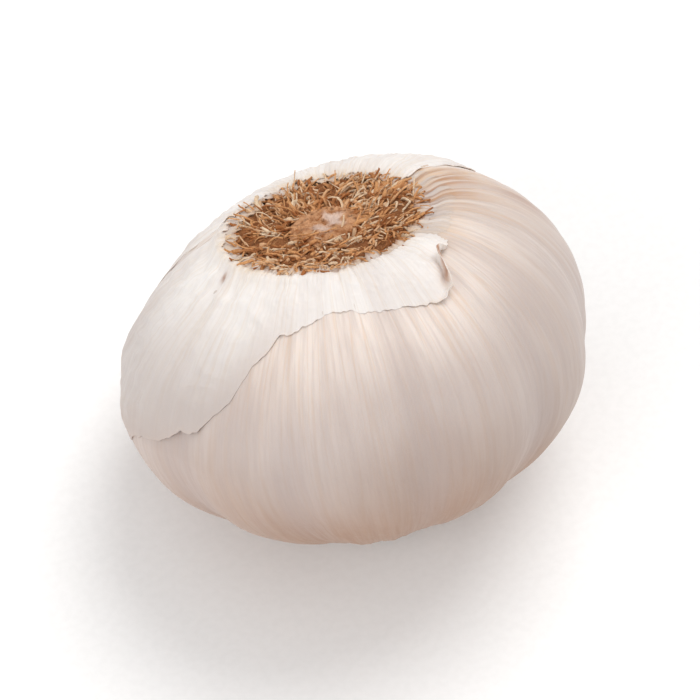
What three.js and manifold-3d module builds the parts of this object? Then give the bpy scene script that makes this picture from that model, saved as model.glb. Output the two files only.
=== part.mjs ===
// A whole garlic bulb, lying as one settles on a table: on two of its cloves and the rim of its trimmed
// neck, with the root plate turned up. Millimetres, +Z up, resting on z = 0 at the middle of its footprint.
//
// Everything is first shaped in the bulb's own frame, where +Z runs along the axis and out through the
// roots, z = 0 is the widest ring, and an angle of 90 degrees is the side that will face the table.
import * as THREE from "three";
import { mergeVertices } from "three/addons/utils/BufferGeometryUtils.js";
import Module from "manifold-3d";

// ---- Sizes of the bulb ----
const BULB_RADIUS = 29.5; // axis to the widest ring, over the cloves
const ROOT_POLE = 21; // half height of the oval that the root side is part of
const SHOULDER_DEPTH = 20.2; // widest ring down to the foot of the neck
const NECK_RADIUS = 5.8;
const NECK_LENGTH = 2.9; // what the knife left of the neck
const CLOVES = 10;
const CREASE_DEPTH = 1.3; // how far the skin dips between two cloves
const FULLNESS = 2.1; // how much one side of the root end swells, and the other falls in
const FULL_SIDE = 4; // degrees round the axis to the swollen side
const FLAT_DEPTH = 0.5; // how much is pressed flat where the bulb touches the table

// ---- Sizes of the root end ----
const PLATE_RADIUS = 5; // corky plate that the cloves stand on
const PLATE_THICKNESS = 1.9;
const BEARD_RADIUS = 11.6; // ring of matted root stumps round the plate
const BEARD_THICKNESS = 2;
const RECESS_DEPTH = 1.6; // rim of the cloves down to the floor under the plate
const RIM_ROUNDING = 1.9; // width of the rolled rim
const ROOT_COUNT = 64;
const ROOT_RADIUS = 0.5;
const ROOT_LENGTH = 2.2; // mean length of a cut root

// ---- Sizes of the loose outer skin ----
const SKIN_THICKNESS = 0.4;
const SKIN_START = 0.05; // where it begins on the root side: 0 is the rim and 1 the widest ring
const FIT_GAP = 0.3; // clearance between any two pieces

// ---- How fine the facets are ----
const SLICES = 72; // round the axis of the bulb
const ROOT_SLICES = 48; // round the plate and the roots
const SKIN_SLICE_DEGREES = 4;
const SKIN_ROWS = 16; // on a sheet that reaches from the rim to the widest ring

const radians = THREE.MathUtils.degToRad;
const wasm = await Module();
wasm.setup();

// ---------------------------------------------------------------------------------------------------
// The outline of the bulb, from the middle of the root end out, down and in to the cut neck. x is the
// distance from the axis and y the height along it.

const recessRadius = BEARD_RADIUS + FIT_GAP;
const rimRadius = recessRadius + RIM_ROUNDING;
const rimAngle = Math.acos(rimRadius / BULB_RADIUS);
const rimHeight = ROOT_POLE * Math.sin(rimAngle);
const recessFloor = rimHeight - RECESS_DEPTH;
const neckTip = -SHOULDER_DEPTH - NECK_LENGTH;
const neckTipRadius = NECK_RADIUS * 0.92;

const at = (x, y) => new THREE.Vector2(x, y);
const outline = {
  floor: new THREE.LineCurve(at(0, recessFloor), at(recessRadius, recessFloor)),
  rim: new THREE.QuadraticBezierCurve(
    at(recessRadius, recessFloor),
    at(recessRadius + RIM_ROUNDING / 4, rimHeight + RIM_ROUNDING / 5),
    at(rimRadius, rimHeight),
  ),
  rootSide: new THREE.EllipseCurve(0, 0, BULB_RADIUS, ROOT_POLE, rimAngle, 0, true),
  shoulder: new THREE.CubicBezierCurve(
    at(BULB_RADIUS, 0),
    at(BULB_RADIUS, -SHOULDER_DEPTH * 0.6),
    at(NECK_RADIUS * 2.3, -SHOULDER_DEPTH),
    at(NECK_RADIUS, -SHOULDER_DEPTH),
  ),
  neck: new THREE.LineCurve(at(NECK_RADIUS, -SHOULDER_DEPTH), at(neckTipRadius, neckTip)),
  cut: new THREE.LineCurve(at(neckTipRadius, neckTip), at(0, neckTip)),
};
const divisions = { floor: 3, rim: 4, rootSide: 12, shoulder: 15, neck: 2, cut: 2 };

// How deep the skin dips at this angle, as a share of CREASE_DEPTH: 0 on the crown of a clove. The
// cloves differ in width, a crease faces the table, and the creases are deepest on that side.
function dip(angle) {
  const turn = angle - Math.PI / 2;
  const warped = turn + 0.08 * Math.sin(2 * turn) + 0.05 * Math.sin(3 * turn);
  const crease = (0.5 + 0.5 * Math.cos(CLOVES * warped)) ** 1.7;
  return crease * (1 + 0.2 * Math.cos(turn));
}

// The creases run down the outside of the cloves only. They are deepest just below the widest ring and
// fade out at the root rim and the neck.
function creaseShare(curve, height) {
  if (curve !== outline.rootSide && curve !== outline.shoulder) return 0;
  const down = (rimHeight - height) / (rimHeight + SHOULDER_DEPTH);
  return Math.sin(Math.PI * THREE.MathUtils.clamp(down, 0, 1) ** 1.3);
}

// The root side swells on one side of the axis and falls in on the other, most just outside the rim.
function swelling(curve, height, angle) {
  if (curve !== outline.rootSide) return 0;
  const down = THREE.MathUtils.clamp(1 - height / rimHeight, 0, 1);
  return FULLNESS * Math.sin(Math.PI * Math.sqrt(down)) * Math.cos(angle - radians(FULL_SIDE));
}

// A point on the bulb's skin, or lifted off it: follow is how much of the creases it dips into.
function skinPoint(curve, along, angle, lift = 0, follow = 1) {
  const point = curve.getPoint(along);
  const tangent = curve.getTangent(along);
  const crease = CREASE_DEPTH * dip(angle) * creaseShare(curve, point.y);
  const offset = lift + swelling(curve, point.y, angle) - follow * crease;
  const radius = Math.max(0, point.x - tangent.y * offset);
  const height = point.y + tangent.x * offset;
  return new THREE.Vector3(radius * Math.cos(angle), radius * Math.sin(angle), height);
}

// ---------------------------------------------------------------------------------------------------
// Solids

// A closed solid from a geometry, less the faces that shrink to nothing on the axis of a lathe.
function solidOf(geometry) {
  const bare = geometry.clone();
  bare.deleteAttribute("normal");
  bare.deleteAttribute("uv");
  const merged = mergeVertices(bare, 1e-4);
  const corners = merged.index.array;
  const faces = [];
  for (let k = 0; k < corners.length; k += 3) {
    const face = [corners[k], corners[k + 1], corners[k + 2]];
    if (new Set(face).size === 3) faces.push(...face);
  }
  return new wasm.Manifold(
    new wasm.Mesh({
      numProp: 3,
      vertProperties: new Float32Array(merged.attributes.position.array),
      triVerts: new Uint32Array(faces),
    }),
  );
}

function geometryOf(solid) {
  const mesh = solid.getMesh();
  const geometry = new THREE.BufferGeometry();
  geometry.setAttribute("position", new THREE.BufferAttribute(mesh.vertProperties, 3));
  geometry.setIndex(new THREE.BufferAttribute(mesh.triVerts, 1));
  geometry.computeVertexNormals();
  return geometry;
}

// A lathe turned about +Z: LatheGeometry turns about +Y.
const turned = (points) => new THREE.LatheGeometry(points, ROOT_SLICES).rotateX(Math.PI / 2);

// The cloves in their tight inner skin, with the neck that the skin draws into, as one closed body.
// The lathe gives the faces, and skinPoint() then moves each vertex into the creases.
function bulbBody() {
  const samples = Object.entries(outline).flatMap(([name, curve]) =>
    Array.from({ length: divisions[name] }, (_, k) => ({ curve, along: k / divisions[name] })),
  );
  samples.push({ curve: outline.cut, along: 1 });
  samples.reverse();
  const lathe = new THREE.LatheGeometry(
    samples.map(({ curve, along }) => curve.getPoint(along)),
    SLICES,
  );
  const places = lathe.attributes.position;
  for (let slice = 0; slice <= SLICES; slice++) {
    const angle = (2 * Math.PI * (slice % SLICES)) / SLICES;
    samples.forEach(({ curve, along }, k) => {
      const { x, y, z } = skinPoint(curve, along, angle);
      places.setXYZ(slice * samples.length + k, x, y, z);
    });
  }
  return lathe;
}

// The corky plate: a low cushion with a dimple in the middle.
function rootPlate() {
  const base = recessFloor + FIT_GAP;
  const top = base + PLATE_THICKNESS;
  return turned([
    at(0, base),
    at(PLATE_RADIUS, base),
    at(PLATE_RADIUS, top - PLATE_THICKNESS * 0.45),
    at(PLATE_RADIUS * 0.85, top - PLATE_THICKNESS * 0.12),
    at(PLATE_RADIUS * 0.55, top),
    at(PLATE_RADIUS * 0.25, top - PLATE_THICKNESS * 0.1),
    at(0, top - PLATE_THICKNESS * 0.22),
  ]);
}

// One cut root: a tapered stump that leans outwards from the mat by lean degrees from upright.
function rootStump(angle, radius, foot, lean, length) {
  const stump = new THREE.CylinderGeometry(ROOT_RADIUS * 0.7, ROOT_RADIUS, length, 6);
  stump.translate(0, length / 2, 0).rotateX(Math.PI / 2);
  stump.rotateY(radians(lean)).translate(radius, 0, foot).rotateZ(angle);
  return stump;
}

// The matted ring of roots round the plate, with the cut ends standing out of it.
function rootBeard() {
  const inner = PLATE_RADIUS + FIT_GAP;
  const base = recessFloor + FIT_GAP;
  const top = base + BEARD_THICKNESS;
  const rounding = BEARD_THICKNESS * 0.35;
  const mat = [
    at(inner, base),
    at(BEARD_RADIUS, base),
    at(BEARD_RADIUS, top - rounding),
    at(BEARD_RADIUS - rounding, top),
    at(inner + rounding, top),
    at(inner, top - rounding),
    at(inner, base),
  ];
  const goldenAngle = Math.PI * (3 - Math.sqrt(5));
  const first = inner + ROOT_RADIUS * 2;
  const last = BEARD_RADIUS - ROOT_RADIUS * 2;
  let beard = solidOf(turned(mat));
  for (let k = 0; k < ROOT_COUNT; k++) {
    const share = (k + 0.5) / ROOT_COUNT;
    const stump = rootStump(
      k * goldenAngle,
      THREE.MathUtils.lerp(first, last, share ** 0.7),
      top - ROOT_RADIUS * 2,
      25 * Math.sin(k * 1.3) + 20 * share,
      ROOT_LENGTH * (1 + 0.3 * Math.sin(k * 2.1)),
    );
    beard = beard.add(solidOf(stump));
  }
  return geometryOf(beard);
}

// A torn piece of the loose outer skin: a flat sheet, bent over the bulb from the root rim down. Its
// edge is a list of [degrees round the axis, how far down the sheet reaches there], where 0 is the rim,
// 1 the widest ring and 2 the neck. It bridges half of each crease.
function outerSkin(edge) {
  const from = edge[0][0];
  const to = edge[edge.length - 1][0];
  const slices = Math.round((to - from) / SKIN_SLICE_DEGREES);
  const rows = Math.ceil(SKIN_ROWS * Math.max(...edge.map(([, reach]) => reach)));
  const sheet = new THREE.BoxGeometry(1, 1, 1, slices, rows, 1);
  const places = sheet.attributes.position;
  for (let k = 0; k < places.count; k++) {
    const degrees = THREE.MathUtils.lerp(from, to, places.getX(k) + 0.5);
    const along = THREE.MathUtils.lerp(SKIN_START, reachOf(edge, degrees), 0.5 - places.getY(k));
    const curve = along > 1 ? outline.shoulder : outline.rootSide;
    const lift = FIT_GAP + SKIN_THICKNESS * (places.getZ(k) + 0.5);
    const { x, y, z } = skinPoint(curve, along > 1 ? along - 1 : along, radians(degrees), lift, 0.5);
    places.setXYZ(k, x, y, z);
  }
  return sheet;
}

// How far down the torn edge runs at an angle: straight from mark to mark, and nibbled all along.
function reachOf(edge, degrees) {
  const next = Math.max(1, edge.findIndex(([mark]) => mark >= degrees));
  const [before, reachBefore] = edge[next - 1];
  const [after, reachAfter] = edge[next];
  const straight = THREE.MathUtils.mapLinear(degrees, before, after, reachBefore, reachAfter);
  return straight + 0.02 * Math.sin(degrees * 0.31) + 0.015 * Math.sin(degrees * 0.73);
}

// ---------------------------------------------------------------------------------------------------
// Rest: the bulb leans over until a clove is as low as the edge of its neck.

// Height of a point of the bulb once its axis leans over by this angle, towards the side at 90 degrees.
const heightWhenLeaning = (point, lean) => point.z * Math.cos(lean) - point.y * Math.sin(lean);

function lowest(curve, steps, lean) {
  let height = Infinity;
  for (let slice = 0; slice < SLICES; slice++) {
    for (let k = 0; k <= steps; k++) {
      const point = skinPoint(curve, k / steps, (2 * Math.PI * slice) / SLICES);
      height = Math.min(height, heightWhenLeaning(point, lean));
    }
  }
  return height;
}

function restLean() {
  let [upright, lying] = [0, Math.PI / 2];
  for (let step = 0; step < 30; step++) {
    const lean = (upright + lying) / 2;
    const neck = lowest(outline.neck, divisions.neck, lean);
    const shoulder = lowest(outline.shoulder, divisions.shoulder, lean);
    if (neck < shoulder) upright = lean;
    else lying = lean;
  }
  return upright;
}

const lean = restLean();
const tableHeight = lowest(outline.shoulder, divisions.shoulder, lean) + FLAT_DEPTH;

// The bulb as the table presses it flat: what would be below the table is cut away.
function pressedFlat(body) {
  const span = 4 * BULB_RADIUS;
  const table = new THREE.BoxGeometry(span, span, span);
  table.translate(0, 0, tableHeight - span / 2).rotateX(lean);
  return geometryOf(solidOf(body).subtract(solidOf(table)));
}

// ---------------------------------------------------------------------------------------------------
// The pieces and their materials

const material = (color, roughness) => new THREE.MeshStandardMaterial({ color, roughness, metalness: 0 });
const innerSkinLook = material(0xded0c2, 0.55);
const outerSkinLook = material(0xece2d8, 0.6);
const corkLook = material(0xa8927f, 0.9);
const rootLook = material(0x9c7149, 0.9);

const bulb = new THREE.Group();

function addPiece(name, geometry, look) {
  const mesh = new THREE.Mesh(geometry, look);
  mesh.name = name;
  bulb.add(mesh);
}

addPiece("bulb_body", pressedFlat(bulbBody()), innerSkinLook);
addPiece("root_plate", rootPlate(), corkLook);
addPiece("root_beard", rootBeard(), rootLook);

// Two torn pieces are left of the outer skin. The front one hangs below the widest ring on the left and
// has lost most of its front, and the back one is torn off short all along.
const frontEdge = [
  [142, 1.05],
  [160, 1.15],
  [180, 1.04],
  [196, 0.92],
  [210, 0.78],
  [219, 0.62],
  [224, 0.42],
  [232, 0.27],
  [246, 0.19],
  [260, 0.19],
  [272, 0.23],
  [284, 0.3],
  [295, 0.32],
  [303, 0.17],
  [312, 0.1],
];
const backEdge = [
  [22, 0.3],
  [32, 0.55],
  [58, 0.72],
  [84, 0.6],
  [110, 0.78],
  [136, 0.62],
];
addPiece("outer_skin_front", outerSkin(frontEdge), outerSkinLook);
addPiece("outer_skin_back", outerSkin(backEdge), outerSkinLook);

bulb.rotation.x = -lean;
bulb.position.z = -tableHeight;

const garlic = new THREE.Group();
garlic.add(bulb);
garlic.updateMatrixWorld(true);
const middle = new THREE.Box3().setFromObject(garlic, true).getCenter(new THREE.Vector3());
bulb.position.x -= middle.x;
bulb.position.y -= middle.y;

export default garlic;
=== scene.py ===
"""A garlic bulb lying on a pale surface: tight inner skin over the cloves, torn papery outer skin, corky
root plate and a mat of trimmed roots. Shapes are worked out in millimetres in the bulb's own frame, where
+Z runs out through the roots, z = 0 is the widest ring and 90 degrees is the side that faces the table.
A place on the outline is given as a zone: -2 to -1 is the floor of the recess round the roots, -1 to 0 its
rim, 0 to 1 the root side down to the widest ring, 1 to 2 the shoulder, 2 to 3 the neck and 3 to 4 its cut."""

import math

import bpy
import numpy as np
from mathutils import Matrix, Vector


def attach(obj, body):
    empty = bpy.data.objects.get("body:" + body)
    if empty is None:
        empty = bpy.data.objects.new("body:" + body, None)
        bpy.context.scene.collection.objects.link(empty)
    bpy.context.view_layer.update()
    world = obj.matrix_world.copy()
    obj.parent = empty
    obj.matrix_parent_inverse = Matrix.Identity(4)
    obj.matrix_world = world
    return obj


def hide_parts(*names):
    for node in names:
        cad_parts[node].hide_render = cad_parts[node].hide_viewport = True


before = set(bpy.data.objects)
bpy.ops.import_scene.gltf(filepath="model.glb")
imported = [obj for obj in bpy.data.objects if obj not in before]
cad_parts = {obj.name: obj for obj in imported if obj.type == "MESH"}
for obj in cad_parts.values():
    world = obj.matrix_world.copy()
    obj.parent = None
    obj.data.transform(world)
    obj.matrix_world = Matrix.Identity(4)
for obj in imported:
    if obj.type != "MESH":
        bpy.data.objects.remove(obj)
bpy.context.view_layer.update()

MM = 0.001

# ---- Sizes of the bulb, in millimetres ----
BULB_RADIUS = 29.5
ROOT_POLE = 21.0
SHOULDER_DEPTH = 20.2
NECK_RADIUS = 5.8
NECK_LENGTH = 2.9
CLOVES = 10
CREASE_DEPTH = 1.3
FULLNESS = 2.1
FULL_SIDE = math.radians(4)
PLATE_RADIUS = 5.0
PLATE_THICKNESS = 1.9
BEARD_RADIUS = 11.6
BEARD_THICKNESS = 2.0
RECESS_DEPTH = 1.6
RIM_ROUNDING = 1.9
FIT_GAP = 0.3

# ---- Sizes that only the looks have, in millimetres unless the line says otherwise ----
PAPER_THICKNESS = 0.11
SHEET_START = -0.35  # zone where the outer skins start
RIM_SKIN_THICKNESS = 0.08
RIM_SKIN_LOW = 0.1  # zone where the rim skin rises out of the body
RIM_SKIN_CREST = -0.3  # zone where it turns inwards over the roots
RIM_SKIN_INNER = 11.3  # radius of its frayed end
FIBRES = 2850
FIBRE_STEPS = 6
FIBRE_REACH = 13.4  # radius that no root passes
MAT_SINK = 0.7  # how far the mat's top lies under the CAD root ring's
FOOT_DEPTH = 0.95  # how far a root's foot lies under it
STOUT_SHARE = 0.32  # share of the roots that are stout
BARE_RADIUS = 3.4  # radius within which the plate can be bare
BARE_SEED = 44  # noise that says where it is

# ---- Camera, in metres ----
CAMERA_AZIMUTH = math.radians(-21)
CAMERA_ELEVATION = math.radians(56)
CAMERA_DISTANCE = 0.7
CAMERA_AIM = 0.023  # height it aims at
CAMERA_LENS = 290  # millimetres

recess_radius = BEARD_RADIUS + FIT_GAP
rim_radius = recess_radius + RIM_ROUNDING
rim_angle = math.acos(rim_radius / BULB_RADIUS)
rim_height = ROOT_POLE * math.sin(rim_angle)
recess_floor = rim_height - RECESS_DEPTH
neck_tip = -SHOULDER_DEPTH - NECK_LENGTH
neck_tip_radius = NECK_RADIUS * 0.92


# ---------------------------------------------------------------------------------------------------
# Noise and small helpers


def noise(points, seed=0):
    """Smooth gradient noise from about -1 to 1 at points of shape (..., 3)."""
    cell = np.floor(points).astype(np.int64)
    part = points - cell
    ease = part**3 * (part * (part * 6 - 15) + 10)
    total = np.zeros(points.shape[:-1])
    for corner in np.ndindex(2, 2, 2):
        c = cell + np.array(corner)
        h = (c[..., 0] * 73856093) ^ (c[..., 1] * 19349663) ^ (c[..., 2] * 83492791) ^ (seed * 2654435761)
        h = (h ^ (h >> 13)) * 1274126177 & 0x7FFFFFFF
        h ^= h >> 15
        turn = (h & 0xFFFF) / 65536 * 2 * math.pi
        lift = ((h >> 16) & 0x7FFF) / 32768 * 2 - 1
        flat = np.sqrt(1 - lift**2)
        away = part - np.array(corner)
        slope = away[..., 0] * flat * np.cos(turn) + away[..., 1] * flat * np.sin(turn) + away[..., 2] * lift
        weight = np.prod(np.where(np.array(corner) == 1, ease, 1 - ease), axis=-1)
        total += weight * slope
    return total * 1.6


def ridges(points, seed=0):
    """Noise with sharp crests: 1 on a crest and about 0 between."""
    return 1 - np.abs(noise(points, seed)) * 2


def smooth(low, high, value):
    share = np.clip((value - low) / (high - low), 0, 1)
    return share * share * (3 - 2 * share)


def stretched(angle, down, round_scale, down_scale):
    """Coordinates for noise on the skin: round_scale features to a radian, down_scale to a millimetre."""
    angle, down = np.broadcast_arrays(angle, down)
    return np.stack([np.cos(angle) * round_scale, np.sin(angle) * round_scale, down * down_scale], axis=-1)


# ---------------------------------------------------------------------------------------------------
# The bulb's outline, from the middle of the root end out, down and in to the cut neck, at even steps

OUTLINE_STEP = 0.05


def outline():
    """(down, zone, table) along the outline: table holds radius, height, creases' share and fullness."""
    t = np.linspace(0, 1, 400, endpoint=False)[:, None]
    angle = rim_angle * (1 - t)
    bezier2 = lambda a, b, c: a * (1 - t) ** 2 + 2 * b * t * (1 - t) + c * t**2
    bezier3 = lambda a, b, c, d: (
        a * (1 - t) ** 3 + 3 * b * t * (1 - t) ** 2 + 3 * c * t**2 * (1 - t) + d * t**3
    )
    p = lambda x, y: np.array([x, y])
    parts = [
        p(0, recess_floor) + t * p(recess_radius, 0),
        bezier2(
            p(recess_radius, recess_floor),
            p(recess_radius + RIM_ROUNDING / 4, rim_height + RIM_ROUNDING / 5),
            p(rim_radius, rim_height),
        ),
        np.hstack([BULB_RADIUS * np.cos(angle), ROOT_POLE * np.sin(angle)]),
        bezier3(
            p(BULB_RADIUS, 0),
            p(BULB_RADIUS, -SHOULDER_DEPTH * 0.6),
            p(NECK_RADIUS * 2.3, -SHOULDER_DEPTH),
            p(NECK_RADIUS, -SHOULDER_DEPTH),
        ),
        p(NECK_RADIUS, -SHOULDER_DEPTH) + t * p(neck_tip_radius - NECK_RADIUS, -NECK_LENGTH),
        p(neck_tip_radius, neck_tip) + t * p(-neck_tip_radius, 0),
    ]
    places = np.vstack(parts + [p(0, neck_tip)[None]])
    zone = np.append(np.repeat(np.arange(6) - 2.0, 400) + np.tile(t[:, 0], 6), 4.0)
    steps = np.linalg.norm(np.diff(places, axis=0), axis=1)
    length = np.append(0, np.cumsum(steps))
    down = np.arange(0, length[-1], OUTLINE_STEP)
    x = np.interp(down, length, places[:, 0])
    y = np.interp(down, length, places[:, 1])
    zone = np.interp(down, length, zone)
    outside = (zone >= 0) & (zone <= 2)
    fall = np.clip((rim_height - y) / (rim_height + SHOULDER_DEPTH), 0, 1)
    crease = np.where(outside, np.sin(np.pi * fall**1.3), 0)
    sink = np.clip(1 - y / rim_height, 0, 1)
    swell = np.where((zone >= 0) & (zone <= 1), np.sin(np.pi * np.sqrt(sink)), 0)
    near_neck = np.exp(-(((zone - 2.0) / 0.25) ** 2))[:, None]
    table = np.stack([x, y, crease, swell], axis=1)
    table = blurred(table, 0.25) * (1 - near_neck) + blurred(table, 1.1) * near_neck
    table[:, 0] = np.maximum(table[:, 0], 0)
    return down, zone, table


def blurred(table, width):
    """Each column of table, softened along the outline over width millimetres."""
    reach = int(width / OUTLINE_STEP * 3)
    kernel = np.exp(-0.5 * (np.arange(-reach, reach + 1) * OUTLINE_STEP / width) ** 2)
    padded = np.pad(table, ((reach, reach), (0, 0)), mode="edge")
    padded[:reach, 0] = -table[reach:0:-1, 0]
    padded[-reach:, 0] = -table[-2 : -reach - 2 : -1, 0]
    columns = [np.convolve(padded[:, k], kernel / kernel.sum(), mode="valid") for k in range(table.shape[1])]
    return np.stack(columns, axis=1)


DOWN, ZONE, TABLE = outline()
along_to_down = lambda zone: np.interp(zone, ZONE, DOWN)
down_to_zone = lambda down: np.interp(down, DOWN, ZONE)


def dip(angle):
    """How deep the skin dips at this angle: 0 on the crown of a clove."""
    turn = angle - np.pi / 2
    warped = turn + 0.08 * np.sin(2 * turn) + 0.05 * np.sin(3 * turn)
    return (0.5 + 0.5 * np.cos(CLOVES * warped)) ** 1.7 * (1 + 0.2 * np.cos(turn))


def skin(angle, down, lift=0.0, follow=1.0):
    """Places on the bulb's skin, down millimetres along the outline, and its outward directions there."""
    angle, down, lift = np.broadcast_arrays(angle, down, lift)
    x, y, crease, swell = (np.interp(down, DOWN, TABLE[:, k]) for k in range(4))
    step = 0.1
    dx = np.interp(down + step, DOWN, TABLE[:, 0]) - np.interp(down - step, DOWN, TABLE[:, 0])
    dy = np.interp(down + step, DOWN, TABLE[:, 1]) - np.interp(down - step, DOWN, TABLE[:, 1])
    size = np.maximum(np.hypot(dx, dy), 1e-9)
    tx, ty = dx / size, dy / size
    lumps = 0.3 * noise(stretched(angle, down, 1.7, 0.07), 3) * crease
    offset = lift + lumps + FULLNESS * swell * np.cos(angle - FULL_SIDE)
    offset = offset - follow * CREASE_DEPTH * dip(angle) * crease
    radius = np.maximum(x - ty * offset, 0)
    place = np.stack([radius * np.cos(angle), radius * np.sin(angle), y + tx * offset], axis=-1)
    out = np.stack([-ty * np.cos(angle), -ty * np.sin(angle), tx], axis=-1)
    along = np.stack([tx * np.cos(angle), tx * np.sin(angle), ty], axis=-1)
    return place, out, along


# ---------------------------------------------------------------------------------------------------
# The bulb's frame in the row frame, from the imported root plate


def bulb_frame():
    """(origin, 3x3 matrix whose columns are the bulb's X, Y and Z) in millimetres."""
    points = np.array([v.co[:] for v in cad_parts["root_plate"].data.vertices]) / MM
    centre = points.mean(axis=0)
    _, axes = np.linalg.eigh(np.cov((points - centre).T))
    up = axes[:, 0] * (1 if axes[2, 0] > 0 else -1)
    base = ((points - centre) @ up).min()
    origin = centre + up * (base - recess_floor - FIT_GAP)
    right = np.array([1.0, 0, 0])
    return origin, np.stack([right, np.cross(up, right), up], axis=1)


ORIGIN, AXES = bulb_frame()


def placed(points):
    """Bulb-frame millimetres as row-frame metres, pressed flat where the bulb meets the table."""
    world = points @ AXES.T + ORIGIN
    world[..., 2] = np.maximum(world[..., 2], 0.0)
    return world * MM


def mesh_piece(name, points, faces, node=None, slot=None, material=None, **attributes):
    """A smooth-shaded piece that rides on the root, with attributes given per vertex."""
    mesh = bpy.data.meshes.new(name)
    mesh.from_pydata(placed(points).tolist(), [], faces)
    mesh.validate()
    for key, values in attributes.items():
        values = np.asarray(values, dtype=np.float32)
        kind = "FLOAT_VECTOR" if values.ndim == 2 else "FLOAT"
        layer = mesh.attributes.new(key, kind, "POINT")
        layer.data.foreach_set("vector" if values.ndim == 2 else "value", values.ravel())
    mesh.polygons.foreach_set("use_smooth", [True] * len(mesh.polygons))
    mesh.materials.append(material)
    piece = bpy.data.objects.new(name, mesh)
    bpy.context.scene.collection.objects.link(piece)
    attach(piece, "root")
    if node:
        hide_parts(node)
    return piece


def all_round(columns):
    """Angles of the columns of a grid that goes all the way round, as one row."""
    return np.linspace(0, 2 * np.pi, columns, endpoint=False)[None, :]


def grid_faces(rows, columns, wrap=False):
    """Quads of a grid whose vertices are numbered row by row. Faces out where rows run down."""
    across = columns if wrap else columns - 1
    faces = []
    for r in range(rows - 1):
        for c in range(across):
            d = (c + 1) % columns
            faces.append((r * columns + c, (r + 1) * columns + c, (r + 1) * columns + d, r * columns + d))
    return faces


def closed_faces(rows, columns):
    """Faces of a round grid closed by two more vertices: inside its first row, and inside its last."""
    faces = grid_faces(rows, columns, wrap=True)
    count = rows * columns
    for c in range(columns):
        d = (c + 1) % columns
        faces.append((count, c, d))
        faces.append((count + 1, count - columns + d, count - columns + c))
    return faces


def make_paper(piece, thickness, offset):
    """Gives a sheet its thickness: offset 1 adds it outside, and -1 inside."""
    paper = piece.modifiers.new("paper", "SOLIDIFY")
    paper.thickness = thickness * MM
    paper.offset = offset


# ---------------------------------------------------------------------------------------------------
# Materials


class Shader:
    """Builds one node material. Methods return output sockets, and take sockets or plain values."""

    def __init__(self, name):
        self.material = bpy.data.materials.new(name)
        self.material.use_nodes = True
        self.tree = self.material.node_tree
        self.tree.nodes.clear()
        self.bsdf = self.tree.nodes.new("ShaderNodeBsdfPrincipled")
        self.output = self.tree.nodes.new("ShaderNodeOutputMaterial")
        self.tree.links.new(self.bsdf.outputs[0], self.output.inputs["Surface"])

    def put(self, socket, value):
        if isinstance(value, bpy.types.NodeSocket):
            self.tree.links.new(value, socket)
        elif value is not None:
            socket.default_value = value

    def attribute(self, name, output="Fac"):
        node = self.tree.nodes.new("ShaderNodeAttribute")
        node.attribute_name = name
        return node.outputs[output]

    def scaled(self, vector, scale):
        node = self.tree.nodes.new("ShaderNodeMapping")
        self.put(node.inputs["Vector"], vector)
        node.inputs["Scale"].default_value = scale
        return node.outputs["Vector"]

    def noise(self, vector, scale, detail=3.0, rough=0.55, distort=0.0):
        node = self.tree.nodes.new("ShaderNodeTexNoise")
        self.put(node.inputs["Vector"], vector)
        node.inputs["Scale"].default_value = scale
        node.inputs["Detail"].default_value = detail
        node.inputs["Roughness"].default_value = rough
        node.inputs["Distortion"].default_value = distort
        return node.outputs["Fac"]

    def voronoi(self, vector, scale, feature="F1"):
        node = self.tree.nodes.new("ShaderNodeTexVoronoi")
        node.feature = feature
        self.put(node.inputs["Vector"], vector)
        node.inputs["Scale"].default_value = scale
        return node.outputs["Distance"]

    def math(self, operation, a, b=None, clamp=False):
        node = self.tree.nodes.new("ShaderNodeMath")
        node.operation = operation
        node.use_clamp = clamp
        self.put(node.inputs[0], a)
        self.put(node.inputs[1], b)
        return node.outputs[0]

    def band(self, value, low, high, out_low=0.0, out_high=1.0):
        """value from low..high, eased to out_low..out_high."""
        node = self.tree.nodes.new("ShaderNodeMapRange")
        node.interpolation_type = "SMOOTHSTEP"
        self.put(node.inputs["Value"], value)
        for key, number in zip(("From Min", "From Max", "To Min", "To Max"), (low, high, out_low, out_high)):
            node.inputs[key].default_value = number
        return node.outputs["Result"]

    def crest(self, value):
        """1 where noise crosses its middle, falling off both ways: thin lines."""
        return self.math("SUBTRACT", 1.0, self.math("ABSOLUTE", self.math("MULTIPLY", value, 2.0)))

    def mix(self, share, a, b):
        node = self.tree.nodes.new("ShaderNodeMix")
        node.data_type = "RGBA"
        self.put(node.inputs["Factor"], share)
        self.put(node.inputs[6], a)
        self.put(node.inputs[7], b)
        return node.outputs[2]

    def bump(self, height, strength, distance, under=None):
        node = self.tree.nodes.new("ShaderNodeBump")
        node.inputs["Strength"].default_value = strength
        node.inputs["Distance"].default_value = distance
        self.put(node.inputs["Height"], height)
        self.put(node.inputs["Normal"], under)
        return node.outputs["Normal"]

    def finish(self, colour, roughness, normal, **sockets):
        self.put(self.bsdf.inputs["Base Color"], colour)
        self.put(self.bsdf.inputs["Roughness"], roughness)
        self.put(self.bsdf.inputs["Normal"], normal)
        for key, value in sockets.items():
            self.bsdf.inputs[key.replace("_", " ")].default_value = value
        return self.material


def rgb(red, green, blue):
    """A colour from its 0..255 screen values, as the shader's linear values."""
    channel = lambda v: v / 12.92 if v <= 0.04045 else ((v + 0.055) / 1.055) ** 2.4
    return (channel(red / 255), channel(green / 255), channel(blue / 255), 1.0)


THIN_SHEET = rgb(222, 207, 198)
# The next two colours are painted shade that darkens the skin from the root end down: grey, then warm brown
# at the shoulder, which is partly the neck skins' real tan.
PAINTED_SHADE_GREY = rgb(181, 166, 160)
SHOULDER_TAN_AND_SHADE = rgb(156, 114, 84)
# Painted shade in the dips between cloves.
PAINTED_CREASE_SHADE = rgb(176, 160, 156)
BROWN_SPOT = rgb(150, 92, 54)


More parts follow.
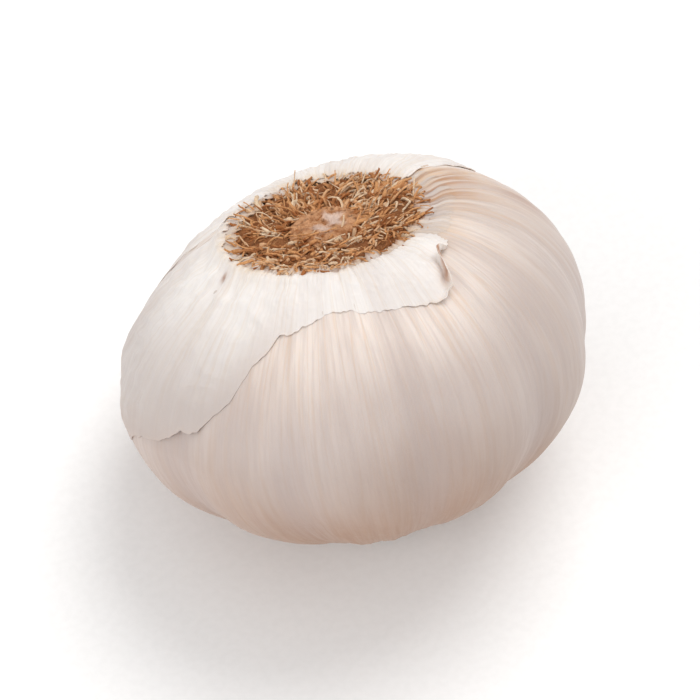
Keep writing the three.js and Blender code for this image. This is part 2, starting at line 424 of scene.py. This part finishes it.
def skin_material(name, pale, mid, shade, tan, streaks, roughness):
    """Dry skin with fine veins from root to neck. The mesh's attributes steer it: fibre is millimetres round
    and down the bulb, zone the place on the outline, which also darkens the skin from the root end down as
    painted shade (grey, then warm brown at the shoulder, partly the real tan of the neck skins), crease the
    dips between cloves, darkened as painted shade, tan and brown the stains, and cling how far the sheet
    takes the colour of the skin under it."""
    s = Shader(name)
    fibre = s.attribute("fibre", "Vector")
    fine = s.noise(s.scaled(fibre, (1, 1, 0.07)), 1.5, 4.0, 0.6)
    broad = s.noise(s.scaled(fibre, (1, 1, 0.22)), 0.22, 3.0, 0.55)
    cloud = s.noise(s.scaled(fibre, (1, 1, 0.35)), 0.11, 3.0, 0.6)
    vein = s.noise(s.scaled(fibre, (1, 1, 0.035)), 0.62, 2.0, 0.5, 0.3)
    speck = s.noise(s.scaled(fibre, (1, 1, 0.7)), 1.1, 5.0, 0.7)
    colour = s.mix(s.band(broad, 0.35, 0.66), pale, mid)
    colour = s.mix(s.band(cloud, 0.46, 0.68, 0.0, 0.4), colour, shade)
    colour = s.mix(s.band(fine, 0.42, 0.7, 0.0, streaks), colour, shade)
    colour = s.mix(s.band(fine, 0.52, 0.3, 0.0, streaks * 0.9), colour, pale)
    lines = s.band(s.crest(s.math("SUBTRACT", vein, 0.5)), 0.93, 1.0, 0.0, streaks * 0.8)
    colour = s.mix(lines, colour, tan)
    stain = s.math("MULTIPLY", s.attribute("tan"), s.band(speck, 0.32, 0.66, 0.35, 1.0), clamp=True)
    colour = s.mix(stain, colour, tan)
    colour = s.mix(s.attribute("cling"), colour, THIN_SHEET)
    zone = s.attribute("zone")
    # Painted shade: the skin greys from the root end down towards the widest ring.
    colour = s.mix(s.band(zone, 0.05, 0.7, 0.0, 0.68), colour, PAINTED_SHADE_GREY)
    # Painted shade that browns the shoulder towards the neck, partly the neck skins' real tan.
    colour = s.mix(s.band(zone, 0.75, 1.6, 0.0, 0.8), colour, SHOULDER_TAN_AND_SHADE)
    # Painted shade in the dips between cloves.
    colour = s.mix(s.band(s.attribute("crease"), 0.15, 0.95, 0.0, 0.35), colour, PAINTED_CREASE_SHADE)
    colour = s.mix(s.attribute("brown"), colour, BROWN_SPOT)
    ribs = s.noise(s.scaled(fibre, (1, 1, 0.05)), 2.3, 3.0, 0.6)
    crinkle = s.noise(s.scaled(fibre, (1, 1, 0.45)), 0.8, 4.0, 0.6, 0.6)
    normal = s.bump(ribs, 0.35, 0.12 * MM)
    normal = s.bump(crinkle, 0.3, 0.3 * MM, normal)
    return s.finish(
        colour,
        s.band(fine, 0.3, 0.7, roughness - 0.06, roughness + 0.1),
        normal,
        Subsurface_Weight=0.18,
        Subsurface_Radius=(1.0, 0.7, 0.5),
        Subsurface_Scale=1.2 * MM,
        Specular_IOR_Level=0.4,
        Sheen_Weight=0.06,
    )


def cork_material():
    """Rough brown cork with pits, and bare paler where the roots have come off."""
    s = Shader("root_cork")
    spot = s.attribute("fibre", "Vector")
    grain = s.noise(spot, 0.9, 5.0, 0.7)
    pits = s.voronoi(spot, 0.8)
    colour = s.mix(s.band(grain, 0.35, 0.65), rgb(208, 158, 118), rgb(158, 104, 66))
    colour = s.mix(s.band(pits, 0.28, 0.05, 0.0, 0.8), colour, rgb(84, 56, 40))
    colour = s.mix(s.attribute("bare"), colour, rgb(222, 200, 188))
    normal = s.bump(grain, 0.8, 0.5 * MM)
    normal = s.bump(s.band(pits, 0.0, 0.35), 0.7, 0.4 * MM, normal)
    return s.finish(colour, s.band(grain, 0.3, 0.7, 0.75, 0.95), normal, Specular_IOR_Level=0.25)


def root_material():
    """Dry roots, darker at the foot. tone runs from dark to pale root, and tip from foot to cut end."""
    s = Shader("root_fibre")
    tone = s.attribute("tone")
    along = s.attribute("tip")
    spot = s.attribute("fibre", "Vector")
    grain = s.noise(s.scaled(spot, (1, 1, 0.35)), 2.6, 4.0, 0.65)
    blotch = s.noise(spot, 0.7, 3.0, 0.6)
    colour = s.mix(s.band(tone, 0.05, 0.5), rgb(172, 106, 58), rgb(232, 172, 116))
    colour = s.mix(s.band(tone, 0.5, 1.0), colour, rgb(247, 222, 190))
    colour = s.mix(s.band(grain, 0.48, 0.72, 0.0, 0.5), colour, rgb(166, 104, 60))
    colour = s.mix(s.band(blotch, 0.58, 0.74, 0.0, 0.4), colour, rgb(120, 72, 42))
    colour = s.mix(s.band(along, 0.3, 0.0, 0.0, 0.6), colour, rgb(96, 58, 34))
    matted = s.noise(s.scaled(spot, (1, 1, 0.5)), 1.7, 5.0, 0.75, 1.2)
    colour = s.mix(s.band(matted, 0.5, 0.68, 0.0, 0.45), colour, rgb(230, 172, 116))
    normal = s.bump(grain, 0.6, 0.2 * MM)
    normal = s.bump(matted, 0.8, 0.5 * MM, normal)
    return s.finish(colour, s.band(blotch, 0.3, 0.7, 0.7, 0.9), normal, Specular_IOR_Level=0.3)


INNER_SKIN = skin_material(
    "inner_skin",
    pale=rgb(230, 217, 208),
    mid=rgb(214, 199, 190),
    shade=rgb(186, 171, 165),
    tan=rgb(214, 178, 140),
    streaks=0.36,
    roughness=0.47,
)
OUTER_SKIN = skin_material(
    "outer_skin",
    pale=rgb(243, 235, 229),
    mid=rgb(235, 225, 218),
    shade=rgb(219, 206, 199),
    tan=rgb(220, 188, 150),
    streaks=0.24,
    roughness=0.55,
)
CORK = cork_material()
ROOTS = root_material()


def fibre_of(angle, down):
    """Texture coordinates on the skin: millimetres round the widest ring and down the outline."""
    return np.stack([BULB_RADIUS * np.cos(angle), BULB_RADIUS * np.sin(angle), down + 0 * angle], axis=-1)


# ---------------------------------------------------------------------------------------------------
# The cloves in their tight skin


def wrinkles(angle, down):
    """Fine relief of tight skin, in millimetres: ribs that gather at the neck and at the root rim."""
    zone = down_to_zone(down)
    to_neck = smooth(1.45, 2.0, zone)
    to_rim = smooth(0.6, 0.0, zone) * (zone > -0.8)
    ribs = ridges(stretched(angle, down, 9.0, 0.035), 11)
    thin = ridges(stretched(angle, down, 21.0, 0.06), 12)
    pleats = ridges(stretched(angle, down, 4.2, 0.03), 13)
    patches = 0.5 + 0.5 * noise(stretched(angle, down, 1.4, 0.06), 14)
    relief = (0.10 + 0.22 * to_neck + 0.16 * to_rim) * ribs * (0.4 + patches)
    relief += (0.035 + 0.08 * to_rim + 0.10 * to_neck) * thin
    relief += 0.75 * to_neck * (pleats - 0.5)
    return relief * (zone < 3.0) * smooth(-0.9, -0.2, zone)


def cut_neck(angle, down):
    """Relief of the cut end of the neck: dry leaf bases wound round each other, sunk in the middle."""
    zone = down_to_zone(down)
    on_cut = smooth(2.9, 3.1, zone)
    radius = np.interp(down, DOWN, TABLE[:, 0])
    wobble = 0.5 * noise(stretched(angle, down, 1.2, 0.0), 21)
    layers = np.sin((radius + angle * 0.16 + wobble) * 2 * np.pi / 0.95)
    rag = noise(stretched(angle, down, 5.0, 0.7), 22)
    return on_cut * (0.28 * layers + 0.3 * rag - 1.5 * smooth(3.4, 0.4, radius))


def body_tan(angle, down):
    """How far the skin is stained yellow: round the root rim, in streaks out to one side, and at the neck."""
    zone = down_to_zone(down)
    stain = noise(stretched(angle, down, 2.2, 0.05), 31)
    rim = smooth(0.2, -0.05, zone) * (0.5 + 0.5 * stain)
    away = (angle - math.radians(10) + np.pi) % (2 * np.pi) - np.pi
    side = smooth(0.62, 0.05, zone) * np.exp(-((away / 0.5) ** 2))
    lines = smooth(0.35, 0.95, ridges(stretched(angle, down, 13.0, 0.05), 33))
    neck = smooth(1.7, 2.4, zone) * 0.7
    return np.clip(rim + side * (0.22 + 0.6 * lines) + neck + 0.1 * stain, 0, 1)


def side_streaks(angle, down):
    """Brown streaks that run out from the roots on the side where the outer skins have come away."""
    away = (angle - math.radians(4) + np.pi) % (2 * np.pi) - np.pi
    lines = smooth(0.3, 0.8, ridges(stretched(angle, down, 13.0, 0.05), 33))
    return 0.65 * smooth(0.26, 0.02, down_to_zone(down)) * np.exp(-((away / 0.42) ** 2)) * lines


def shoulder_stain(angle, down):
    """A faint brown patch on one upper shoulder."""
    apart = np.hypot((np.degrees(angle) - 357) * 0.4, (down - along_to_down(0.395)) * 0.6)
    return 0.3 * np.exp(-((apart / 2.2) ** 2))


def make_body():
    rows, columns = 200, 480
    down = np.linspace(DOWN[0], DOWN[-1], rows)[1:-1][:, None]
    angle = all_round(columns)
    relief = wrinkles(angle, down) + cut_neck(angle, down)
    place, _, _ = skin(angle, down, relief)
    zone = down_to_zone(down) + 0 * angle
    full_angle = angle + 0 * down
    points = place.reshape(-1, 3)
    fibre = fibre_of(full_angle, down).reshape(-1, 3)
    tan = body_tan(full_angle, down).ravel()
    # A noisy copy of the zone: it steers the painted shade that darkens the skin from the root end down, and
    # the neck's tan.
    shade_and_tan_zone = zone + 0.25 * noise(stretched(angle, down, 1.6, 0.05), 32)
    shade_and_tan_zone = (shade_and_tan_zone - 1.3 * smooth(1.7, 2.2, zone) * np.maximum(shade_and_tan_zone - 1.0, 0)).ravel()
    # How deep each place lies in a dip between cloves; the skin darkens there as painted shade.
    crease = (dip(full_angle) * np.interp(down, DOWN, TABLE[:, 2])).ravel()
    brown = smooth(-0.15, -0.6, zone) * 0.7 + smooth(2.75, 3.2, zone) * 0.35
    brown = brown + shoulder_stain(full_angle, down) + side_streaks(full_angle, down)
    brown = np.clip(brown, 0, 1).ravel()
    top = np.array([[0, 0, recess_floor]])
    tip = np.array([[0, 0, neck_tip + 1.4]])  # the cut is sunk in its middle
    points = np.vstack([points, top, tip])
    ends = np.array([[0, 0, 0], [0, 0, DOWN[-1]]])
    mesh_piece(
        "garlic_cloves_in_skin",
        points,
        closed_faces(rows - 2, columns),
        "bulb_body",
        "inner_skin",
        INNER_SKIN,
        fibre=np.vstack([fibre, ends]),
        tan=np.append(tan, [0, 0.8]),
        zone=np.append(shade_and_tan_zone, [0, 1]),
        crease=np.append(crease, [0, 0]),
        brown=np.append(brown, [0.8, 0.5]),
    )


# ---------------------------------------------------------------------------------------------------
# The torn outer skin

FRONT_EDGE = [
    (142, 1.05), (160, 1.15), (180, 1.04), (196, 0.92), (210, 0.78), (219, 0.62), (224, 0.42), (232, 0.27),
    (246, 0.19), (260, 0.19), (272, 0.23), (284, 0.3), (295, 0.32), (303, 0.17), (312, 0.1),
]  # fmt: skip
BACK_EDGE = [(22, 0.3), (32, 0.55), (58, 0.72), (84, 0.6), (110, 0.78), (136, 0.62)]


# Brown spots on each sheet: (degrees, zone, size in millimetres)
SPOTS = {
    "outer_skin_front_paper": [(297, 0.235, 1.0), (300, 0.2, 0.7), (191, 0.045, 0.6)],
}


def sheet_lift(degrees, down, to_edge, to_start, to_side, flat_down, seed):
    """How high a sheet stands off the body: puffed and crumpled inside, close at its edges, and on top of
    the rim skin where it starts."""
    angle = np.radians(degrees)
    zone = down_to_zone(down)
    near_roots = smooth(0.5, 0.1, zone)
    slack = np.maximum(near_roots, 0.75 * smooth(250, 210, degrees) * smooth(1.1, 0.8, zone))
    inside = smooth(0.0, 5.0, np.minimum(to_edge, np.maximum(to_side, 0)))
    puff = 0.36 * inside * (0.5 + 0.5 * noise(stretched(angle, down, 4.0, 0.12), seed + 5))
    crumple = 0.15 * ridges(stretched(angle, down, 7.0, 0.09), seed + 6)
    crumple += 0.06 * ridges(stretched(angle, down, 17.0, 0.2), seed + 7)
    folds = ridges(stretched(angle + 0.02 * down, down, 4.6, 0.3), seed + 10)
    crumple += 0.36 * slack * inside * folds
    crumple += 0.12 * near_roots * ridges(stretched(angle, down, 11.0, 0.7), seed + 11)
    lift = 0.06 + puff + crumple * (0.3 + 0.7 * inside) + 0.10 * wrinkles(angle, flat_down)
    on_rim = smooth(3.4, 0.8, to_start)
    over_rim = np.maximum(rim_lift(angle, down), 0) + 0.12
    lift = np.maximum(lift, 0.05) * (1 - on_rim) + over_rim * on_rim
    return np.maximum(lift, rim_lift(angle, down) + 0.16)


def outer_skin(name, node, edge, rows, columns, curl, seed):
    """A sheet from the root rim down to its torn edge. curl(degrees) is (radius, length) in millimetres
    of the lip that the edge rolls up into."""
    marks = np.array(edge, dtype=float)
    across = np.linspace(0, 1, columns)[None, :]
    share = np.linspace(0, 1, rows)[:, None]
    side_rag = 1.3 * noise(stretched(seed * 1.0, share * 9, 1.0, 1.0), seed)
    side_rag = side_rag * np.where(across < 0.5, 1, -1) * np.abs(2 * across - 1) ** 8
    degrees = marks[0, 0] + (marks[-1, 0] - marks[0, 0]) * across + side_rag
    angle = np.radians(degrees)
    reach = np.interp(degrees, marks[:, 0], marks[:, 1])
    tear = 0.55 * noise(stretched(angle, 0.0, 9.0, 0.0), seed + 1)
    tear += 0.3 * noise(stretched(angle, 0.0, 31.0, 0.0), seed + 2)
    tear += 0.9 * noise(stretched(angle, 0.0, 3.5, 0.0), seed + 3)
    start = along_to_down(SHEET_START) + 0.5 * noise(stretched(angle, 0.0, 8.0, 0.0), seed + 4)
    start = start + 0.35 * noise(stretched(angle, 0.0, 30.0, 0.0), seed + 9)
    end = along_to_down(reach) + tear
    eased = 1 - (1 - share) ** 1.25
    down = start + (end - start) * eased
    to_edge = end - down
    to_side = np.minimum(degrees - marks[0, 0], marks[-1, 0] - degrees) * 0.4
    radius, length = curl(degrees)
    length = np.minimum(length, (end - start) * 0.5)
    rolled = np.maximum(length - to_edge, 0)
    flat_down = down - rolled
    lift = sheet_lift(degrees, down, to_edge, down - start, to_side, flat_down, seed)
    place, out, along = skin(angle, flat_down, lift, 0.5)
    turn = rolled / radius
    place = place + along * (radius * np.sin(turn))[..., None]
    place = place + out * (radius * (1 - np.cos(turn)))[..., None]
    zone = down_to_zone(down)
    stain = noise(stretched(angle, down, 2.6, 0.06), seed + 8)
    tan = smooth(0.1, -0.15, zone) * (0.4 + 0.5 * stain) + 0.08 * stain
    tan += 0.35 * smooth(0.7, 0.0, to_edge) * (0.5 + stain)
    brown = np.zeros_like(tan)
    for spot_degrees, spot_zone, size in SPOTS.get(name, []):
        apart = np.hypot((degrees - spot_degrees) * 0.35, down - along_to_down(spot_zone))
        brown += np.exp(-((apart / size) ** 2)) * 0.8
    sheet = mesh_piece(
        name,
        place.reshape(-1, 3),
        grid_faces(rows, columns),
        node,
        "outer_skin",
        OUTER_SKIN,
        fibre=fibre_of(angle + 0 * down, down).reshape(-1, 3),
        tan=np.clip(tan, 0, 1).ravel(),
        brown=np.clip(brown, 0, 1).ravel(),
        zone=zone.ravel(),
        cling=(0.85 * smooth(8.0, 0.0, to_edge) * smooth(255, 215, degrees)).ravel(),
    )
    make_paper(sheet, PAPER_THICKNESS, 1.0)


def front_curl(degrees):
    lip = np.exp(-(((degrees - 298) / 10) ** 2))
    left = smooth(235, 205, degrees)
    length = 0.35 + 2.7 * lip + 0.2 * np.sin(np.radians(degrees * 5))
    return 2.2 - 1.2 * lip + 3 * left, length * (1 - 0.9 * left)


def back_curl(degrees):
    return 2.4 + 0 * degrees, 0.5 + 0.3 * np.sin(np.radians(degrees * 7))


# ---------------------------------------------------------------------------------------------------
# The root end


def rim_lift(angle, down):
    """How high the rim skin stands off the body: it rises out of it at RIM_SKIN_LOW, with fine pleats."""
    crimp = 0.16 * ridges(stretched(angle, down, 15.0, 0.25), 95)
    crimp = crimp + 0.1 * ridges(stretched(angle, down, 37.0, 0.3), 96)
    crimp = crimp + 0.15 * noise(stretched(angle, down, 6.0, 0.2), 94)
    low = along_to_down(RIM_SKIN_LOW)
    return (0.12 + crimp) * smooth(low, low - 2.4, down) - 0.25 * smooth(low - 1.4, low, down)


def make_rim_skin():
    """The skins' ends round the roots: they rise out of the body, cross the rim and fray out inwards."""
    rows, columns = 26, 720
    bend = 0.45  # share of the width that lies inside the crest
    angle = all_round(columns)
    share = np.linspace(0, 1, rows)[:, None]
    crest, low = along_to_down(RIM_SKIN_CREST), along_to_down(RIM_SKIN_LOW)
    down = crest + (low - crest) * np.clip((share - bend) / (1 - bend), 0, 1)
    place, _, _ = skin(angle, down, rim_lift(angle, down))
    inner = RIM_SKIN_INNER + 0.8 * noise(stretched(angle, 0.0, 4.0, 0.0), 91)
    inner = inner + 0.6 * noise(stretched(angle, 0.0, 17.0, 0.0), 92)
    inner = inner + 0.5 * noise(stretched(angle, 0.0, 40.0, 0.0), 93)
    inward = np.clip((bend - share) / bend, 0, 1)
    radius = np.hypot(place[..., 0], place[..., 1])
    radius = radius + (inner - radius) * inward
    rise = (0.25 + 0.35 * noise(stretched(angle, 0.0, 9.0, 0.0), 99)) * inward
    points = np.stack([radius * np.cos(angle), radius * np.sin(angle), place[..., 2] + rise], axis=-1)
    stain = noise(stretched(angle, down, 6.0, 0.4), 97)
    tan = np.clip(0.15 + 0.7 * inward + 0.5 * stain, 0, 1) * smooth(1.05, 0.4, share)
    tan = np.maximum(tan, body_tan(angle + 0 * share, down) * smooth(0.4, 1.0, share))
    scorch = 0.3 + 0.8 * noise(stretched(angle, down, 11.0, 0.5), 98)
    brown = np.clip(smooth(0.5, 1.0, inward) * scorch + side_streaks(angle, down), 0, 1)
    ring = mesh_piece(
        "root_rim_skin",
        points.reshape(-1, 3),
        grid_faces(rows, columns, wrap=True),
        None,
        "inner_skin",
        INNER_SKIN,
        fibre=fibre_of(angle + 0 * share, down + 0 * angle).reshape(-1, 3),
        tan=tan.ravel(),
        brown=brown.ravel(),
        zone=(down_to_zone(down) + 0 * angle).ravel(),
    )
    make_paper(ring, RIM_SKIN_THICKNESS, -1.0)


def make_plate():
    """The corky plate: a low dome, sunk in the middle, with a steep side."""
    rows, columns = 46, 150
    brink = 0.86  # share of the rows that lie on the dome
    base = recess_floor + FIT_GAP
    top = base + PLATE_THICKNESS
    share = np.linspace(0, 1, rows)[1:][:, None]
    angle = all_round(columns)
    radius = PLATE_RADIUS * np.minimum(share / brink, 1)
    dome = np.interp(
        radius / PLATE_RADIUS,
        [0, 0.25, 0.55, 0.85, 1.0],
        [top - 0.45, top - 0.2, top, top - 0.3, top - 1.0],
    )
    height = np.where(share > brink, np.interp(share, [brink, 1.0], [top - 1.0, base]), dome)
    x, y = radius * np.cos(angle), radius * np.sin(angle)
    spot = np.stack(np.broadcast_arrays(x, y, 0 * x), axis=-1)
    rough = 0.35 * noise(spot * 0.7, 41) + 0.26 * ridges(spot * 1.6, 42) + 0.16 * ridges(spot * 3.6, 43)
    height = height + rough * smooth(1.0, brink, share) * 0.9 - 0.1
    points = np.stack([x, y, height + 0 * angle], axis=-1).reshape(-1, 3)
    points = np.vstack([points, [[0, 0, top - 0.5]], [[0, 0, base]]])
    bare = smooth(0.15, -0.3, noise(spot * 0.5, BARE_SEED)) * smooth(BARE_RADIUS, 1.4, np.hypot(x, y))
    mesh_piece(
        "root_plate_cork",
        points,
        closed_faces(rows - 1, columns),
        "root_plate",
        "root_cork",
        CORK,
        fibre=points,
        bare=np.append(bare.ravel(), [0.6, 0]) * 0.8,
    )


def tube(path, radii, sides=7):
    """Vertices, faces and the share along of a closed tapered tube through path."""
    points, shares, faces = [], [], []
    count = len(path)
    tangents = np.gradient(path, axis=0)
    side = np.cross(tangents[0], [0.3, 0.5, 0.8])
    for k in range(count):
        ahead = tangents[k] / np.linalg.norm(tangents[k])
        side = side - ahead * (side @ ahead)
        side /= np.linalg.norm(side)
        other = np.cross(ahead, side)
        for j in range(sides):
            turn = 2 * math.pi * j / sides
            points.append(path[k] + radii[k] * (side * math.cos(turn) + other * math.sin(turn)))
            shares.append(k / (count - 1))
    for k in range(count - 1):
        for j in range(sides):
            i = (j + 1) % sides
            faces.append((k * sides + j, k * sides + i, (k + 1) * sides + i, (k + 1) * sides + j))
    faces.append(tuple(reversed(range(sides))))
    faces.append(tuple(range((count - 1) * sides, count * sides)))
    return np.array(points), faces, np.array(shares)


def noise_at(place, scale, depth, seed):
    """Noise at one place on the root end."""
    return noise(np.array([[place[0] * scale, place[1] * scale, depth]]), seed)[0]


def root_mat(base, top):
    """Vertices and faces of the lumpy ring that the roots stand in."""
    rows, columns = 44, 420
    angle = all_round(columns)
    inner = PLATE_RADIUS + 0.15
    loop = np.linspace(0, 2 * np.pi, rows, endpoint=False)[:, None]
    middle, half = (inner + BEARD_RADIUS) / 2, (BEARD_RADIUS - inner) / 2
    squared = lambda v: np.sign(v) * np.abs(v) ** 0.6
    radius = middle + half * squared(np.sin(loop)) + 0 * angle
    high = (BEARD_THICKNESS - MAT_SINK) / 2
    height = (base + top - MAT_SINK) / 2 + high * squared(np.cos(loop)) + 0 * angle
    ring = np.stack([radius * np.cos(angle), radius * np.sin(angle), height], axis=-1)
    lumps = 0.5 * noise(ring * 0.9, 51) + 0.35 * ridges(ring * 1.7, 52) + 0.2 * ridges(ring * 4.5, 56)
    ring[..., 2] += lumps * smooth(base + 0.3, top - 0.8, height)
    faces = []
    for r in range(rows):
        for c in range(columns):
            q, d = (r + 1) % rows, (c + 1) % columns
            faces.append((r * columns + c, q * columns + c, q * columns + d, r * columns + d))
    return ring.reshape(-1, 3), faces


def root_fibre(number, top, random):
    """Vertices, faces, shares along and tone of one wiry trimmed root, bent outwards in its tuft. None
    where the patch is bare."""
    golden = math.pi * (3 - math.sqrt(5))
    share = (number + 0.5) / FIBRES
    radius = 1.2 + (BEARD_RADIUS - 1.5) * share**0.56 + random.normal(0, 0.25)
    turn = number * golden + random.normal(0, 0.12)
    foot = np.array([radius * math.cos(turn), radius * math.sin(turn), top - FOOT_DEPTH])
    clump = noise_at(foot, 0.62, 1.5, 55)
    bare = radius < BARE_RADIUS and noise_at(foot, 0.5, 0.0, BARE_SEED) < 0.0
    if bare or random.uniform(-0.75, 0.12) > clump:
        return None
    stout = random.uniform() < STOUT_SHARE
    rise = math.radians(float(np.clip(random.normal(28 + 30 * clump, 18), 0, 75)))
    fall = math.radians(random.normal(-8, 20))
    swing = turn + 1.9 * noise_at(foot, 0.4, 3.0, 53) + random.normal(0, 0.6)
    veer = random.normal(0, 0.8)
    length = float(np.clip(random.normal(1.7 if stout else 2.5, 0.6), 0.8, 3.9))
    thick = random.uniform(0.2, 0.33) if stout else random.uniform(0.08, 0.18)
    path = [foot]
    for step in np.linspace(0, 1, FIBRE_STEPS):
        slope = rise + (fall - rise) * step
        heading = swing + veer * step
        flat = math.cos(slope)
        way = np.array([math.cos(heading) * flat, math.sin(heading) * flat, math.sin(slope)])
        path.append(path[-1] + way * length / FIBRE_STEPS)
    path = np.array(path)
    out = np.maximum(np.hypot(path[:, 0], path[:, 1]), 1e-6)
    path[:, :2] *= np.minimum(1, FIBRE_REACH / out)[:, None]
    along = np.linspace(0, 1, len(path))
    radii = thick * (1.1 - 0.45 * along) * (1 + 0.16 * np.sin(along * 9 + number))
    points, faces, shares = tube(path, radii, 7 if stout else 5)
    points += 0.08 * noise(points * 2.1, 54)[:, None]
    tone = float(np.clip(0.5 + 1.1 * noise_at(foot, 0.8, 7.0, 57) + random.normal(0, 0.22), 0, 1))
    return points, faces, shares, tone


def make_roots():
    """The mat and the roots in it, as one piece."""
    random = np.random.default_rng(17)
    base = recess_floor + FIT_GAP
    top = base + BEARD_THICKNESS
    mat_points, mat_faces = root_mat(base, top)
    # The mat takes the darkest root colours: partly its own dark brown, partly painted shade in the gaps
    # between the roots.
    mat_tone_with_shade, mat_tip_with_shade = 0.1, 0.1
    parts = [(mat_points, mat_faces, np.full(len(mat_points), mat_tip_with_shade), mat_tone_with_shade)]
    parts += [part for part in (root_fibre(k, top, random) for k in range(FIBRES)) if part]
    all_faces, first = [], 0
    for points, faces, _, _ in parts:
        all_faces.extend(tuple(first + v for v in face) for face in faces)
        first += len(points)
    all_points = np.vstack([points for points, _, _, _ in parts])
    mesh_piece(
        "root_beard_fibres",
        all_points,
        all_faces,
        "root_beard",
        "root_fibre",
        ROOTS,
        fibre=all_points,
        tone=np.concatenate([np.full(len(points), tone) for points, _, _, tone in parts]),
        tip=np.concatenate([shares for _, _, shares, _ in parts]),
    )


make_body()
outer_skin(
    "outer_skin_front_paper",
    "outer_skin_front",
    FRONT_EDGE,
    rows=84,
    columns=420,
    curl=front_curl,
    seed=61,
)
outer_skin(
    "outer_skin_back_paper",
    "outer_skin_back",
    BACK_EDGE,
    rows=60,
    columns=260,
    curl=back_curl,
    seed=81,
)
make_rim_skin()
make_plate()
make_roots()


# ---------------------------------------------------------------------------------------------------
# Floor, light and camera


def make_stage():
    size = 3.0
    floor_mesh = bpy.data.meshes.new("floor")
    corners = [(-size, -size, 0), (size, -size, 0), (size, size, 0), (-size, size, 0)]
    floor_mesh.from_pydata(corners, [], [(0, 1, 2, 3)])
    floor = bpy.data.objects.new("floor", floor_mesh)
    bpy.context.scene.collection.objects.link(floor)
    s = Shader("floor_paper")
    coordinates = s.tree.nodes.new("ShaderNodeTexCoord")
    grain = s.noise(coordinates.outputs["Object"], 900.0, 2.0)
    colour = s.mix(s.band(grain, 0.3, 0.7), rgb(250, 250, 250), rgb(247, 247, 247))
    floor_mesh.materials.append(s.finish(colour, 0.9, None, Specular_IOR_Level=0.1))


def area_light(name, place, target, size, power, colour):
    data = bpy.data.lights.new(name, "AREA")
    data.shape = "DISK"
    data.size = size
    data.energy = power
    data.color = colour
    light = bpy.data.objects.new(name, data)
    light.location = place
    light.rotation_euler = (Vector(target) - Vector(place)).to_track_quat("-Z", "Y").to_euler()
    bpy.context.scene.collection.objects.link(light)


def make_lights():
    world = bpy.data.worlds.new("studio")
    world.use_nodes = True
    world.node_tree.nodes["Background"].inputs["Color"].default_value = (1.0, 1.0, 1.0, 1)
    world.node_tree.nodes["Background"].inputs["Strength"].default_value = 0.68
    bpy.context.scene.world = world
    middle = (0, 0, 0.025)
    area_light("key", (0.34, 0.24, 0.82), middle, size=0.6, power=4.1, colour=(1.0, 0.985, 0.965))
    area_light("fill", (-0.65, -0.35, 0.5), middle, size=0.6, power=2.4, colour=(1.0, 0.995, 0.99))


def make_camera():
    data = bpy.data.cameras.new("camera")
    data.lens = CAMERA_LENS
    data.sensor_width = 36
    camera = bpy.data.objects.new("camera", data)
    bpy.context.scene.collection.objects.link(camera)
    level = math.cos(CAMERA_ELEVATION)
    back = Vector(
        (
            math.sin(CAMERA_AZIMUTH) * level,
            -math.cos(CAMERA_AZIMUTH) * level,
            math.sin(CAMERA_ELEVATION),
        )
    )
    camera.location = Vector((0.0, 0.0, CAMERA_AIM)) + back * CAMERA_DISTANCE
    camera.rotation_euler = back.to_track_quat("Z", "Y").to_euler()
    data.clip_start = 0.01
    data.clip_end = 20
    bpy.context.scene.camera = camera


make_stage()
make_lights()
make_camera()
bpy.context.scene.view_settings.view_transform = "Standard"
bpy.context.scene.view_settings.exposure = 0.0
